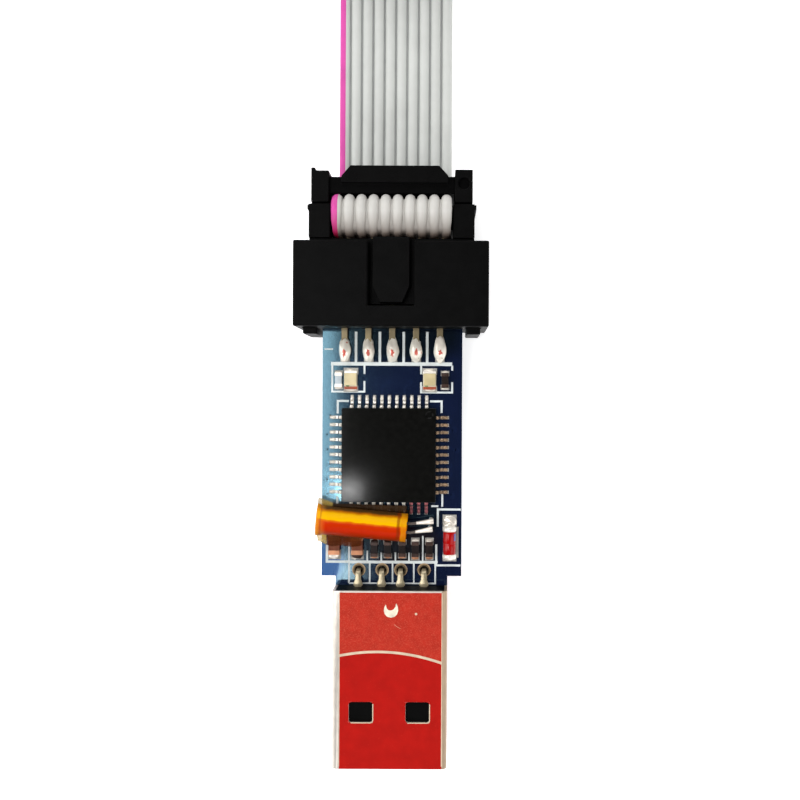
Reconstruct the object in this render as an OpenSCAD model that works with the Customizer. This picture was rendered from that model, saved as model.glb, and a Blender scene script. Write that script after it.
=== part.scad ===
// USB microcontroller programmer with a ten-way ribbon lead.
// X is across the board, +Y runs from the USB plug towards the ribbon, +Z is up.
// The box header stands on z = 0, and the origin is under the middle of plug, board and connector.

/* [USB plug] */
// Width of the plug shell
plug_w = 12.0; // [11.9:0.05:12.1]
// Length of the plug shell
plug_l = 18.5; // [17:0.1:20]
// Thickness of the plug shell
plug_t = 4.5; // [4.4:0.05:4.6]
// Sheet thickness of the shell
shell_wall = 0.3; // [0.25:0.05:0.35]

/* [Circuit board] */
// Width of the board
board_w = 15.0; // [14.6:0.1:16]
// Length of the board, from the plug to the box header
board_l = 27.5; // [27.3:0.1:32]
// Thickness of the board
board_t = 1.6; // [1.2:0.1:1.8]
// Width of the tongue at the plug end
tongue_w = 12.0; // [11:0.1:13]

/* [Box header] */
// Width of the box header
header_w = 20.3; // [20.1:0.1:20.6]
// Length of the box header along the pins
header_l = 8.9; // [8.8:0.1:9.2]
// Thickness of the box header
header_t = 8.8; // [8.7:0.1:9]
// Width of the keying slot
slot_w = 4.8; // [4.4:0.1:5]
// Distance between neighbouring pins
pin_pitch = 2.54; // [2.54]
// Side of a square pin
pin_w = 0.64; // [0.6:0.01:0.66]

/* [Ribbon socket] */
// Width of the socket
socket_w = 17.3; // [17:0.1:17.6]
// Thickness of the socket
socket_t = 6.1; // [6:0.1:6.3]
// Length of the socket body, from its mouth to the crimped ribbon
socket_l = 6.9; // [6.8:0.1:7]
// Length of the cover that presses the ribbon on
cover_l = 3.5; // [3.3:0.1:3.6]
// Length of the strain relief bar
relief_l = 4.1; // [4:0.1:4.4]

/* [Ribbon] */
// Width of the ribbon
ribbon_w = 12.7; // [12.7]
// Thickness of the ribbon
ribbon_t = 0.9; // [0.8:0.05:0.9]

/* [Hidden] */
$fn = 48;

// How far the plugged-in socket body stands out of the header.
stand_out = 0.4;
// Places along Y.
total_l = plug_l + board_l + header_l + stand_out + cover_l + relief_l;
y_tip = -total_l / 2;
y_board = y_tip + plug_l;
y_base = y_board + board_l;
y_mouth = y_base + header_l;
y_crimp = y_mouth + stand_out;
// Heights.
z_mid = header_t / 2;
z_back = z_mid - board_t / 2;
z_top = z_mid + board_t / 2;

// Box header.
base_l = 2.15;
cavity_w = socket_w + 0.6;
cavity_t = socket_t + 0.5;
pin_columns = [-2, -1, 0, 1, 2];
pin_tail = 3.2;
pin_reach = 5.6;

// Plug: pins leave its back edge, cross the tongue and turn down into the board.
plug_z = z_back + 0.1;
hole_x = [-3.5, -1, 1, 3.5];
hole_y = y_board + 1.65;
hole_r = 0.45;
tongue_l = 1.0;
contact_w = 0.67;
contact_t = 0.25;
contact_z = plug_z + 2.2;

// Microcontroller: a square flat pack with eleven leads on each side.
mcu_side = 10;
mcu_y = y_board + 14;
mcu_x = -0.3;
lead_pitch = 0.8;
lead_w = 0.32;
mcu_gull = [[5, 0.53], [5.2, 0.53], [5.4, 0], [6, 0], [6, 0.13], [5.5, 0.13], [5.3, 0.66], [5, 0.66]];

// Crystal lying on its side, wrapped in tape.
can_r = 1.4;
can_l = 8;
can_angle = -5;
can_x = -3.1;
can_y = y_board + 6.8;
can_z = z_top + can_r + 0.15;
tape_r = 1.5;
tape_l = 9.6;
lead_gap = 0.96;
wire_r = 0.16;
// Each wire's straight and bent stretch, and how far the lower and the upper wire bend.
wire_straight = 1.2;
wire_bent = 2.2;
wire_bend = [14.5, 11.5];
// The film's two loose edges stand out from the wrap. Their outlines run along and across the can.
film_t = 0.08;
film_z = can_z - 0.5;
film_edge = [[-4.8, 0.5], [4.7, 0.5], [4.7, 2.2], [-2.9, 1.75], [-3.9, 2.3], [-4.8, 2.2]];
film_end = [[-4.8, -2.3], [-1.7, -2.3], [-1.7, -0.1], [-4.8, -0.1]];

// Row of chips next to the USB pads.
row_y = y_board + 3.9;
big_size = [1.25, 2.0, 0.8];
row_size = [0.8, 1.6, 0.5];
row_x = [-1.85, -0.4, 1.15, 2.55, 4.05];
big_x = [-6.1, -3.65];
big_y = row_y + 0.45;

// Indicator lamps and their resistors.
led_y = y_board + 22;
led_x = [-4.45, 4];
led_chip_x = [-5.75, 5.65];

// Glass diode.
diode_x = 6.2;
diode_y = y_board + 4.7;
diode_r = 0.7;

// Chip on the underside.
bridge_w = 5.3;
bridge_l = 10.2;
bridge_h = 1.6;
bridge_y = y_board + 13.5;
bridge_pitch = 0.65;
bridge_gull = [
    [2.65, 0.75], [3, 0.75], [3.2, 0], [3.9, 0], [3.9, 0.15], [3.3, 0.15], [3.1, 0.9], [2.65, 0.9]
];

// Ribbon route, seen from the side. Each corner is [distance from the crimp, height, bend radius].
run_z = 0.8;
far_y = 42;
far_z = 1;
fold_y = 106.5;
split_y = 52;
near_route = [
    [0.5, 1.6, 0], [0.5, 8.4, 1.3], [4.1, 8.4, 1.3], [4.1, run_z, 0.6], [split_y, run_z, 0]
];
tail_route = [
    [split_y, run_z + far_z, 0], [far_y + 4.1, run_z + far_z, 0.6], [far_y + 4.1, 8.4 + far_z, 1.3],
    [far_y + 0.5, 8.4 + far_z, 1.3], [far_y + 0.5, 1.6 + far_z, 0]
];
fold_r = 2.8;
tie_y = 68;
tie_l = 3;
tie_t = 0.3;

// Unit vector from a to b, and the points of a fillet at corner b.
function unit(a, b) = (b - a) / norm(b - a);
function flat(p) = [p[0], p[1]];
function fillet(a, b, c) =
    let (u = unit(flat(b), flat(a)), v = unit(flat(b), flat(c)), r = b[2])
    let (half = acos(u * v) / 2, reach = r / tan(half))
    let (start = flat(b) + u * reach, centre = flat(b) + (u + v) / norm(u + v) * r / sin(half))
    let (a0 = start - centre, turn = (u[0] * v[1] - u[1] * v[0] < 0 ? 1 : -1) * (180 - 2 * half))
    [for (i = [0:6]) let (t = turn * i / 6)
        centre + [a0[0] * cos(t) - a0[1] * sin(t), a0[0] * sin(t) + a0[1] * cos(t)]];
function rounded(path) = [
    for (i = [0:len(path) - 1])
        each (path[i][2] == 0 ? [flat(path[i])] : fillet(path[i - 1], path[i], path[i + 1]))
];
// The side of a strip: its line moved sideways by d.
function sideways(line, d) = [
    for (i = [0:len(line) - 1])
        let (p = line[max(i - 1, 0)], q = line[min(i + 1, len(line) - 1)], t = unit(p, q))
        line[i] + d * [-t[1], t[0]]
];
function backwards(list) = [for (i = [len(list) - 1:-1:0]) list[i]];

// A box centred on x and y, standing on z.
module block(size, at) {
    translate([at[0] - size[0] / 2, at[1] - size[1] / 2, at[2]]) cube(size);
}

// A profile drawn as [y, z], as wide as w across X.
module across(w) {
    translate([-w / 2, 0, 0]) rotate([90, 0, 90]) linear_extrude(w) children();
}

// A rectangle with round corners.
module round_rect(w, h, r) {
    union() {
        square([w - 2 * r, h], center = true);
        square([w, h - 2 * r], center = true);
        for (x = [-1, 1], y = [-1, 1]) translate([x * (w / 2 - r), y * (h / 2 - r)]) circle(r);
    }
}

// A chip part: a ceramic body with a metal cap on each end.
module chip(size, at) {
    cap = size[1] * 0.22;
    block([size[0] - 0.06, size[1] - 2 * cap, size[2] - 0.04], at);
    for (s = [-1, 1]) block([size[0], cap, size[2]], at + [0, s * (size[1] - cap) / 2, 0]);
}

module circuit_board() {
    color("midnightblue") difference() {
        translate([0, y_board, z_back]) linear_extrude(board_t) union() {
            translate([-tongue_w / 2, 0]) square([tongue_w, tongue_l + 1]);
            translate([-board_w / 2, tongue_l]) square([board_w, board_l - tongue_l]);
        }
        for (x = hole_x) translate([x, hole_y, z_back - 1]) cylinder(h = board_t + 2, r = hole_r);
    }
}

module usb_shell() {
    inner = [plug_w - 2 * shell_wall, plug_t - 2 * shell_wall];
    color("silver") difference() {
        translate([0, y_board, plug_z + plug_t / 2]) rotate([90, 0, 0])
            linear_extrude(plug_l) round_rect(plug_w, plug_t, 0.6);
        translate([0, y_board + 1, plug_z + plug_t / 2]) rotate([90, 0, 0])
            linear_extrude(plug_l + 2) round_rect(inner[0], inner[1], 0.35);
        for (s = [-1, 1]) block([2.5, 2.15, 20], [s * 2.95, y_tip + 5.9, 0]);
    }
    // Lip that is soldered under the board's tongue.
    color("silver") block([8, tongue_l, 0.3], [0, y_board + tongue_l / 2, z_back - 0.3]);
    color("silver") block([8, 0.4, 0.7], [0, y_board - 0.2, z_back - 0.3]);
}

module usb_insulator() {
    back_l = 6.5;
    gap = shell_wall + 0.05;
    inner_w = plug_w - 2 * gap;
    inner_h = plug_t - 2 * gap;
    tongue_t = 1.8;
    color([0.1, 0.1, 0.1]) difference() {
        union() {
            translate([0, y_board, plug_z + plug_t / 2]) rotate([90, 0, 0])
                linear_extrude(back_l) round_rect(inner_w, inner_h, 0.5);
            block([inner_w - 0.8, plug_l - 0.6, tongue_t],
                [0, y_board - (plug_l - 0.6) / 2, plug_z + plug_t - gap - tongue_t]);
        }
        for (x = hole_x)
            block([contact_w + 0.04, 2 * plug_l, contact_t + 0.02], [x, y_board, contact_z - 0.02]);
    }
}

module usb_contacts() {
    front_l = plug_l - 2.5;
    color("gold") for (x = hole_x) {
        block([contact_w, front_l, contact_t - 0.02], [x, y_board - front_l / 2, contact_z]);
        block([contact_w, hole_y - y_board + 0.2, contact_t - 0.02],
            [x, y_board + (hole_y - y_board + 0.2) / 2, contact_z]);
        block([0.5, 0.36, contact_z - z_back + 0.5], [x, hole_y, z_back - 0.5]);
    }
}

// Gull-wing leads in rows on both sides of a flat pack, along Y.
module lead_rows(profile, count, pitch) {
    for (side = [0, 180], i = [0:count - 1])
        rotate([0, 0, side]) translate([0, (i - (count - 1) / 2) * pitch + lead_w / 2, 0])
            rotate([90, 0, 0]) linear_extrude(lead_w) polygon(profile);
}

module mcu_body() {
    color([0.12, 0.12, 0.12]) difference() {
        block([mcu_side, mcu_side, 1], [mcu_x, mcu_y, z_top + 0.1]);
        translate([mcu_x + 4.3, mcu_y + 4.3, z_top + 1]) cylinder(h = 1, r = 0.35);
    }
}

module mcu_leads() {
    color("silver") translate([mcu_x, mcu_y, z_top]) for (turn = [0, 90])
        rotate([0, 0, turn]) lead_rows(mcu_gull, 11, lead_pitch);
}

module at_crystal() {
    translate([can_x, can_y, can_z]) rotate([0, 0, can_angle]) rotate([0, 90, 0]) children();
}

module crystal_can() {
    color("silver") at_crystal() rotate_extrude() polygon([
        [0, -can_l / 2], [can_r - 0.3, -can_l / 2], [can_r, -can_l / 2 + 0.3],
        [can_r, can_l / 2 - 0.7], [can_r - 0.1, can_l / 2 - 0.6], [can_r - 0.1, can_l / 2], [0, can_l / 2]
    ]);
}

// Each wire leaves the can straight, bends a little towards the header, then turns down to the board.
module crystal_leads() {
    color("silver") at_crystal() for (s = [-1, 1]) translate([0, s * lead_gap / 2, can_l / 2]) {
        cylinder(h = wire_straight, r = wire_r, $fn = 24);
        translate([0, 0, wire_straight]) {
            sphere(wire_r, $fn = 24);
            rotate([-wire_bend[(s + 1) / 2], 0, 0]) {
                cylinder(h = wire_bent, r = wire_r, $fn = 24);
                translate([0, 0, wire_bent]) {
                    sphere(wire_r, $fn = 24);
                    rotate([0, 90, 0]) cylinder(h = can_z - z_top, r = wire_r, $fn = 24);
                }
            }
        }
    }
}

module crystal_tape() {
    color("orange") difference() {
        union() {
            at_crystal() translate([0, 0, -tape_l / 2]) cylinder(h = tape_l, r = tape_r);
            translate([can_x, can_y, film_z]) rotate([0, 0, can_angle]) linear_extrude(film_t) {
                polygon(film_edge);
                polygon(film_end);
            }
        }
        at_crystal() translate([0, 0, -tape_l]) cylinder(h = 2 * tape_l, r = can_r + 0.02);
    }
}

module led(x) {
    color("ivory") block([1.25, 2, 0.35], [x, led_y, z_top]);
    color("ivory") block([1.1, 1.3, 0.4], [x, led_y, z_top + 0.35]);
}

module led_resistor(x) {
    color("black") chip(row_size, [x, led_y, z_top]);
}

module diode_glass() {
    color("red") translate([diode_x, diode_y + 1.2, z_top + diode_r + 0.05]) rotate([90, 0, 0])
        cylinder(h = 2.4, r = diode_r - 0.03);
}

module diode_caps() {
    color("silver") for (y = [1.2, -1.75]) translate([diode_x, diode_y + y + 0.55, z_top + diode_r + 0.05])
        rotate([90, 0, 0]) cylinder(h = 0.55, r = diode_r + 0.05);
}

module bridge_body() {
    color([0.12, 0.12, 0.12]) block([bridge_w, bridge_l, bridge_h], [0, bridge_y, z_back - 0.1 - bridge_h]);
}

module bridge_leads() {
    color("silver") translate([0, bridge_y, z_back]) rotate([180, 0, 0])
        lead_rows(bridge_gull, 14, bridge_pitch);
}

module back_chip(i) {
    size = row_size;
    at = [[-5.2, y_board + 5, 0], [5.2, y_board + 5, 0], [0, y_board + 21, 0]][i];
    color("tan") chip(size, at + [0, 0, z_back - size[2]]);
}

module header_shroud() {
    rib_l = 0.7;
    pin_hole = pin_w + 0.02;
    color([0.08, 0.08, 0.08]) difference() {
        union() {
            block([header_w, header_l, header_t], [0, y_base + header_l / 2, 0]);
            for (s = [-1, 1]) block([1.5, rib_l, 5.6], [s * 8.6, y_base - rib_l / 2, z_mid - 2.8]);
        }
        block([cavity_w, header_l, cavity_t], [0, y_base + base_l + header_l / 2, z_mid - cavity_t / 2]);
        block([slot_w, header_l, header_t], [0, y_base + base_l + header_l / 2, z_mid]);
        for (i = pin_columns, s = [-1, 1]) {
            z = z_mid + s * pin_pitch / 2 - pin_hole / 2;
            block([pin_hole, header_l, pin_hole], [i * pin_pitch, y_base, z]);
        }
    }
}

module pin_row(side) {
    l = pin_tail + base_l + pin_reach;
    color("gold") for (i = pin_columns) {
        z = z_mid + side * pin_pitch / 2;
        block([pin_w, l, pin_w], [i * pin_pitch, y_base - pin_tail + l / 2, z - pin_w / 2]);
        block([0.4, 0.3, 0.4], [i * pin_pitch, y_base - pin_tail + l + 0.15, z - 0.2]);
    }
}

// Everything of a ribbon socket is placed from the middle of its crimp face.
module at_near() {
    translate([0, y_crimp, 0]) children();
}

module at_far() {
    translate([0, y_crimp + far_y, far_z]) children();
}

module contact_places() {
    for (i = pin_columns, s = [-1, 1]) translate([i * pin_pitch, 0, z_mid + s * pin_pitch / 2]) children();
}

module body_of_socket() {
    tunnel = 1.1;
    key = [[-1.9, 0], [-1.9, -5.1], [-1.15, -6.8], [1.15, -6.8], [1.9, -5.1], [1.9, 0]];
    color([0.08, 0.08, 0.08]) difference() {
        union() {
            block([socket_w, socket_l, socket_t], [0, -socket_l / 2, z_mid - socket_t / 2]);
            translate([0, 0, z_mid]) linear_extrude(4.1) polygon(key);
        }
        contact_places() block([tunnel, 3 * socket_l, tunnel], [0, 0, -tunnel / 2]);
    }
}

module cover_of_socket() {
    end_w = (socket_w - ribbon_w) / 2 - 0.1;
    color([0.08, 0.08, 0.08]) union() {
        across(ribbon_w + 0.2) polygon([[1, 1.4], [3.6, 1.4], [3.6, 7], [3.1, 7.5], [1.5, 7.5], [1, 7]]);
        for (s = [-1, 1]) {
            block([end_w, cover_l, 6.6], [s * (ribbon_w / 2 + 0.1 + end_w / 2), cover_l / 2, 1.35]);
            block([0.6, 0.5, 6.2], [s * (socket_w / 2 - 0.1), cover_l - 0.25, 1.35]);
        }
    }
}

// A raised bar between two ears that clip on beside the ribbon's loops. Between the ears the top steps down,
// and a narrow open seam runs along the cover.
module relief_of_socket() {
    w = socket_w / 2 - 0.2;
    end = cover_l + relief_l;
    inside = ribbon_w / 2 + 0.25;
    near = 4.75;
    foot_z = 1.35;
    top_z = 7.7;
    step = 0.45;
    seam = 0.25;
    dimple_r = 0.62;
    outline = [
        [-w, cover_l], [-inside, cover_l], [-inside, near], [inside, near], [inside, cover_l], [w, cover_l],
        [w, end - 0.4], [inside, end - 0.4], [inside, end - 1.05], [5.9, end - 1.05], [4.95, end],
        [-4.35, end], [-5.3, end - 1.1], [-inside, end - 1.1], [-inside, end - 0.55],
        [-7.95, end - 0.55], [-8.05, end - 0.25], [-w, end - 0.25]
    ];
    lower = [
        [-inside, near - 1], [inside, near - 1], [inside, end + 1], [5.9, end + 1], [5.9, near + 1.05],
        [-5.3, near + 1.05], [-5.3, end + 1], [-inside, end + 1]
    ];
    color([0.08, 0.08, 0.08]) difference() {
        translate([0, 0, foot_z]) linear_extrude(top_z - foot_z) polygon(outline);
        translate([w - 0.9, end - 1.85, top_z - 0.7]) cylinder(h = 1, r = dimple_r);
        translate([0, 0, top_z - step]) linear_extrude(1) polygon(lower);
        block([2 * w + 1, 2 * seam, 1], [0, cover_l, top_z - step]);
    }
}

module contacts_of_socket() {
    leaf = 0.14;
    color("gold") contact_places() {
        for (s = [-1, 1]) {
            block([leaf, 5.8, 0.8], [s * (pin_w / 2 + 0.04 + leaf / 2), -3.4, -0.4]);
            block([0.2, 0.5, 0.8], [s * 0.35, 0.25, -0.4]);
        }
        block([0.92, 0.5, 0.8], [0, -0.25, -0.4]);
    }
}

module strip(route) {
    line = rounded(route);
    color("gainsboro") at_near() across(ribbon_w)
        polygon(concat(sideways(line, ribbon_t / 2), backwards(sideways(line, -ribbon_t / 2))));
}

module ribbon_hank() {
    low = run_z - ribbon_t / 2;
    high = run_z + far_z + ribbon_t / 2;
    outer_r = fold_r + ribbon_t / 2;
    centre = [fold_y - outer_r, low + outer_r];
    color("gainsboro") at_near() across(ribbon_w) union() {
        polygon([
            [split_y, low], [centre[0], low], [centre[0], low + 2 * outer_r],
            [centre[0] - 5, low + 2 * outer_r - 0.6], [centre[0] - 14, high], [split_y, high]
        ]);
        translate(centre) circle(outer_r);
    }
}

module hank_tie() {
    low = run_z - ribbon_t / 2 - 0.02;
    h = far_z + ribbon_t + 0.04;
    color("white") at_near() difference() {
        block([ribbon_w + 2 * tie_t + 0.04, tie_l, h + 2 * tie_t], [0, tie_y, low - tie_t]);
        block([ribbon_w + 0.04, 2 * tie_l, h], [0, tie_y, low]);
    }
}

circuit_board();
usb_shell();
usb_insulator();
usb_contacts();
mcu_body();
mcu_leads();
crystal_can();
crystal_leads();
crystal_tape();
led(led_x[0]);  // led_left
led(led_x[1]);  // led_right
led_resistor(led_chip_x[0]);  // led_resistor_left
led_resistor(led_chip_x[1]);  // led_resistor_right
color("tan") chip(big_size, [big_x[0], big_y, z_top]);  // big_capacitor_1
color("tan") chip(big_size, [big_x[1], big_y, z_top]);  // big_capacitor_2
color("black") chip(row_size, [row_x[0], row_y, z_top]);  // row_chip_1
color("tan") chip(row_size, [row_x[1], row_y, z_top]);  // row_chip_2
color("tan") chip(row_size, [row_x[2], row_y, z_top]);  // row_chip_3
color("black") chip(row_size, [row_x[3], row_y, z_top]);  // row_chip_4
color("black") chip(row_size, [row_x[4], row_y, z_top]);  // row_chip_5
diode_glass();
diode_caps();
bridge_body();
bridge_leads();
back_chip(0);  // back_chip_1
back_chip(1);  // back_chip_2
back_chip(2);  // back_chip_3
header_shroud();
pin_row(1);  // header_pins_upper
pin_row(-1);  // header_pins_lower
at_near() body_of_socket();  // socket_body
at_near() cover_of_socket();  // socket_cover
at_near() relief_of_socket();  // strain_relief
at_near() contacts_of_socket();  // socket_contacts
strip(near_route);  // ribbon_cable
ribbon_hank();
strip(tail_route);  // ribbon_tail
hank_tie();
at_far() body_of_socket();  // far_socket_body
at_far() cover_of_socket();  // far_socket_cover
at_far() relief_of_socket();  // far_strain_relief
at_far() contacts_of_socket();  // far_socket_contacts
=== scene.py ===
import math
import random

import bmesh
import bpy
from mathutils import Matrix, Vector, noise


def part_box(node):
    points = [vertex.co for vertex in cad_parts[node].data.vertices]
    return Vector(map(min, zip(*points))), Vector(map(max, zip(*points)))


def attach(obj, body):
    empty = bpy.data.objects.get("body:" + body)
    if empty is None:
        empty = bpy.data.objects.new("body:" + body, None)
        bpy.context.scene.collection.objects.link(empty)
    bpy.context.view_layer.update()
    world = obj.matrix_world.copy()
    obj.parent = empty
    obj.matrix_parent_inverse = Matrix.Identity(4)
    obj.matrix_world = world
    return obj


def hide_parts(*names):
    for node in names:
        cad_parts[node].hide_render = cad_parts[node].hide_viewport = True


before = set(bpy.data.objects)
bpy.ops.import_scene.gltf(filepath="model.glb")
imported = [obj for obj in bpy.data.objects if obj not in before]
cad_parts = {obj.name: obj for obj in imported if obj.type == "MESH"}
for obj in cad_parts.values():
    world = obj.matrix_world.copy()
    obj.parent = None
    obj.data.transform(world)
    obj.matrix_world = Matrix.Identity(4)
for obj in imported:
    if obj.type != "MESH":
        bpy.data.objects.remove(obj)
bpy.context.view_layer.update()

# Lengths are in millimetres in the row frame, and turn to metres where a mesh is made.
MM = 0.001
STICK = "programmer"
CABLE = "cable"


def box(node):
    """Lowest and highest corner of a CAD node, in millimetres."""
    low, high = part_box(node)
    return low / MM, high / MM


def row(count, pitch):
    """The places of things in an even row, centred on 0."""
    return [(i - (count - 1) / 2) * pitch for i in range(count)]


board_low, board_high = box("circuit_board")
shell_low, shell_high = box("usb_shell")
mcu_low, mcu_high = box("mcu_body")
Y_BOARD = board_low.y
Z_BACK = board_low.z
Z_TOP = board_high.z
Y_TIP = shell_low.y
PLUG_TOP = shell_high.z
PLUG_BACK = 3.7
Y_CRIMP = box("socket_body")[1].y
FAR_Y = box("far_socket_body")[1].y - Y_CRIMP
FAR_Z = box("far_socket_body")[0].z - box("socket_body")[0].z
PIN_X = row(5, 2.54)
USB_X = [-3.5, -1.0, 1.0, 3.5]
USB_HOLE_Y = Y_BOARD + 1.65
USB_HOLE_R = 0.45
MCU_X = (mcu_low.x + mcu_high.x) / 2
MCU_Y = (mcu_low.y + mcu_high.y) / 2
MCU_ROW = row(11, 0.8)
MCU_PAD = (5.55, 6.4)
PAD_HALF = 0.17
BRIDGE_Y = Y_BOARD + 13.5
BRIDGE_ROW = row(14, 0.65)

# ---- camera

camera = bpy.data.objects.new("camera", bpy.data.cameras.new("camera"))
bpy.context.scene.collection.objects.link(camera)
bpy.context.scene.camera = camera
camera.location = Vector((5.5, 6.95, 98.8)) * MM
camera.rotation_euler = (0, 0, 0.005)
camera.data.sensor_width = 36
camera.data.lens = 39.24
camera.data.shift_x = -0.0544
camera.data.clip_start = 0.001
bpy.context.scene.view_settings.view_transform = "Standard"

# ---- materials


def linear(red, green, blue):
    """An 8-bit screen colour as Blender's linear colour."""
    def one(v):
        v /= 255
        return v / 12.92 if v <= 0.04045 else ((v + 0.055) / 1.055) ** 2.4
    return one(red), one(green), one(blue), 1.0


def shade(colour, k):
    """The colour made lighter or darker."""
    return tuple(min(1, c * k) for c in colour[:3]) + (1.0,)


def grey(v):
    """A neutral linear colour."""
    return v, v, v, 1


def feed(tree, socket, value):
    """Gives a socket a value, or links another socket to it."""
    if isinstance(value, bpy.types.NodeSocket):
        tree.links.new(value, socket)
    else:
        socket.default_value = value


def add_node(tree, kind, **inputs):
    """A shader node with its inputs fed; an underscore in an input's name stands for a space."""
    n = tree.nodes.new("ShaderNode" + kind)
    for name, value in inputs.items():
        feed(tree, n.inputs[name.replace("_", " ")], value)
    return n


def in_place(tree):
    """The part's own coordinates."""
    return (tree.nodes.get("Texture Coordinate") or add_node(tree, "TexCoord")).outputs["Object"]


def noise_node(tree, scale, detail=3.0):
    """Noise with about scale features per millimetre."""
    return add_node(tree, "TexNoise", Scale=scale / MM, Detail=detail, Vector=in_place(tree))


def ramp(tree, source, *stops):
    """The colour of a ramp over a value; stops are (place, colour)."""
    n = add_node(tree, "ValToRGB", Fac=source)
    while len(n.color_ramp.elements) < len(stops):
        n.color_ramp.elements.new(0.5)
    for element, (place, colour) in zip(n.color_ramp.elements, stops):
        element.position = place
        element.color = colour
    return n.outputs["Color"]


def mixed(tree, factor, first, second, kind="RGBA"):
    """A blend of two colours or, for kind FLOAT, of two values."""
    mix = tree.nodes.new("ShaderNodeMix")
    mix.data_type = kind
    type_name = "RGBA" if kind == "RGBA" else "VALUE"
    feed(tree, mix.inputs["Factor"], factor)
    for name, value in (("A", first), ("B", second)):
        feed(tree, next(s for s in mix.inputs if s.name == name and s.type == type_name), value)
    return next(s for s in mix.outputs if s.type == type_name)


def material(name, colour, rough, metal, spec, vary, grain, bump, coat=0.0, alpha=1.0, specks=None,
             sheen_tint=None):
    """A finish with cloudy colour, uneven roughness and a fine bump. grain is features per millimetre, bump
    is in millimetres, specks is (colour, share, size in mm) and sheen_tint colours the reflection."""
    m = bpy.data.materials.new(name)
    m.use_nodes = True
    tree = m.node_tree
    shader = tree.nodes["Principled BSDF"]
    shader.inputs["Metallic"].default_value = metal
    shader.inputs["Coat Weight"].default_value = coat
    shader.inputs["Specular IOR Level"].default_value = spec
    shader.inputs["Alpha"].default_value = alpha
    if sheen_tint:
        shader.inputs["Specular Tint"].default_value = (*sheen_tint, 1)
    broad = noise_node(tree, grain / 8).outputs["Fac"]
    fine = noise_node(tree, grain, 4).outputs["Fac"]
    paint = ramp(tree, broad, (0.32, shade(colour, 1 - vary)), (0.68, shade(colour, 1 + vary)))
    if specks:
        fleck, share, size = specks
        dots = noise_node(tree, 1 / size, 2).outputs["Fac"]
        paint = mixed(tree, ramp(tree, dots, (0.72 - share, grey(0)), (0.8 - share, grey(1))), paint, fleck)
    spread = add_node(tree, "MapRange", To_Min=rough * 0.75, To_Max=min(1, rough * 1.25), Value=fine)
    rise = add_node(tree, "Bump", Distance=bump * MM, Height=fine)
    feed(tree, shader.inputs["Base Color"], paint)
    feed(tree, shader.inputs["Roughness"], spread.outputs["Result"])
    feed(tree, shader.inputs["Normal"], rise.outputs["Normal"])
    return m


def blend_in(m, socket, factor, value, kind="RGBA"):
    """Brings another colour or value into a finish's socket where the factor is 1."""
    target = m.node_tree.nodes["Principled BSDF"].inputs[socket]
    feed(m.node_tree, target, mixed(m.node_tree, factor, target.links[0].from_socket, value, kind))


def painted_shade_along_y(m, y0, y1, colour):
    """Paints shade into a finish along Y: the colour given at y0, and its own from y1 on, in millimetres."""
    tree = m.node_tree
    split = add_node(tree, "SeparateXYZ", Vector=in_place(tree))
    span = add_node(tree, "MapRange", From_Min=y0 * MM, From_Max=y1 * MM, Value=split.outputs["Y"])
    fall = ramp(tree, span.outputs["Result"], (0.0, grey(1)), (0.35, grey(0.5)), (1.0, grey(0)))
    blend_in(m, "Base Color", fall, colour)


def oval(m, centre, reach, strength):
    """A soft oval round (x, y), as far as reach along X and Y: strength in its middle, 0 outside."""
    tree = m.node_tree
    place = add_node(tree, "Mapping", Scale=(1 / (reach[0] * MM), 1 / (reach[1] * MM), 0),
                 Location=(-centre[0] / reach[0], -centre[1] / reach[1], 0), Vector=in_place(tree))
    ball = add_node(tree, "TexGradient", Vector=place.outputs["Vector"])
    ball.gradient_type = "SPHERICAL"
    return ramp(tree, ball.outputs["Fac"], (0.0, grey(0)), (0.35, grey(strength)))


def tinted_oval(m, centre, reach, colour, strength):
    """Blends a colour into a finish over a soft oval."""
    blend_in(m, "Base Color", oval(m, centre, reach, strength), colour)


def rubbed(m, centre, reach, rough):
    """A soft oval patch that is duller than the rest."""
    blend_in(m, "Roughness", oval(m, centre, reach, 1.0), rough, "FLOAT")


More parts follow.
